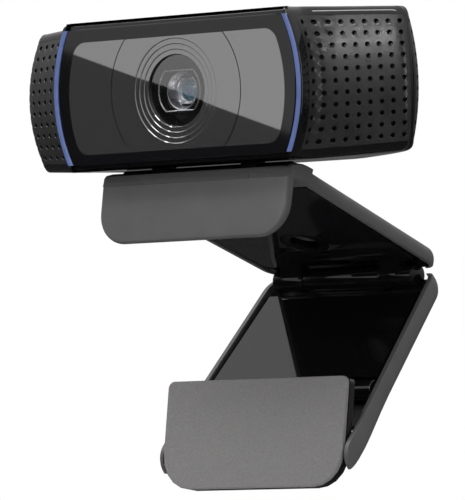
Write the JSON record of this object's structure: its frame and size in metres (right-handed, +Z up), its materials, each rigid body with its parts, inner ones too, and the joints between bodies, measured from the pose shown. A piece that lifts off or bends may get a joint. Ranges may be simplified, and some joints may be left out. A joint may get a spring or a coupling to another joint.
{
  "type": "clip-on webcam",
  "caption": "Wide camera head with a round lens and perforated ends, tilting on a folding monitor clip with a hinged leg and a padded foot.",
  "frame": {"origin": "middle of the clip's underside, the face that rests on top of a monitor", "axes": "+X to the right when facing the lens, the lens looks along -Y, +Z up with the head level"},
  "size_m": [0.094, 0.0556, 0.0913],
  "materials": {
    "gloss_black": "polished black plastic",
    "satin_grey": "fine satin dark grey",
    "grille_grey": "matte perforated dark grey",
    "window_black": "glossy smoked window",
    "light_blue": "translucent blue light guide",
    "rubber_grey": "soft grained grey rubber",
    "steel": "bright steel",
    "lens_glass": "coated optical glass",
    "circuit_board": "green solder mask"
  },
  "bodies": {
    "clip": {"clip_shell": "satin_grey", "clip_underside": "gloss_black", "tripod_insert": "steel", "flap_pad": "rubber_grey", "tilt_pin": "steel", "leg_hinge_pin": "steel"},
    "head": {"front_shell": "gloss_black", "rear_shell": "gloss_black", "window_cover": "window_black", "left_light_bar": "light_blue", "right_light_bar": "light_blue", "left_microphone_grille": "grille_grey", "right_microphone_grille": "grille_grey", "lens_surround": "gloss_black", "focus_motor": "steel", "image_sensor": "lens_glass", "main_board": "circuit_board", "image_processor": "gloss_black", "usb_connector": "rubber_grey", "left_microphone": "steel", "right_microphone": "steel", "left_microphone_board": "circuit_board", "right_microphone_board": "circuit_board", "left_light_board": "circuit_board", "right_light_board": "circuit_board", "cable_gland": "rubber_grey", "tilt_bracket": "steel", "bracket_screw_left": "steel", "bracket_screw_right": "steel"},
    "lens": {"lens_barrel": "gloss_black", "lens_ring": "steel", "lens_front_element": "lens_glass", "lens_rear_element": "lens_glass"},
    "leg": {"leg_shell": "satin_grey", "leg_panel": "gloss_black", "leg_crossbar": "gloss_black", "foot_hinge_pin": "steel"},
    "foot": {"foot_plate": "satin_grey", "foot_pad": "rubber_grey"}
  },
  "joints": [
    {"name": "head_tilt", "type": "hinge", "parent": "clip", "child": "head", "pos_m": [0, -0.02032, 0.00984], "axis": [1, 0, 0], "range_deg": [-20, 4]},
    {"name": "autofocus", "type": "slide", "parent": "head", "child": "lens", "axis": [0, -1, 0], "range_m": [0, 0.0002], "stiffness_N_per_m": 200},
    {"name": "leg_hinge", "type": "hinge", "parent": "clip", "child": "leg", "pos_m": [0, 0.02173, -0.01037], "axis": [1, 0, 0], "range_deg": [-53, 12]},
    {"name": "foot_hinge", "type": "hinge", "parent": "leg", "child": "foot", "pos_m": [0, -0.00729, -0.04548], "axis": [1, 0, 0], "range_deg": [-16, 4]}
  ],
  "couplings": [
    {"joint": "foot_hinge", "follows": "leg_hinge", "ratio": 0.3}
  ]
}
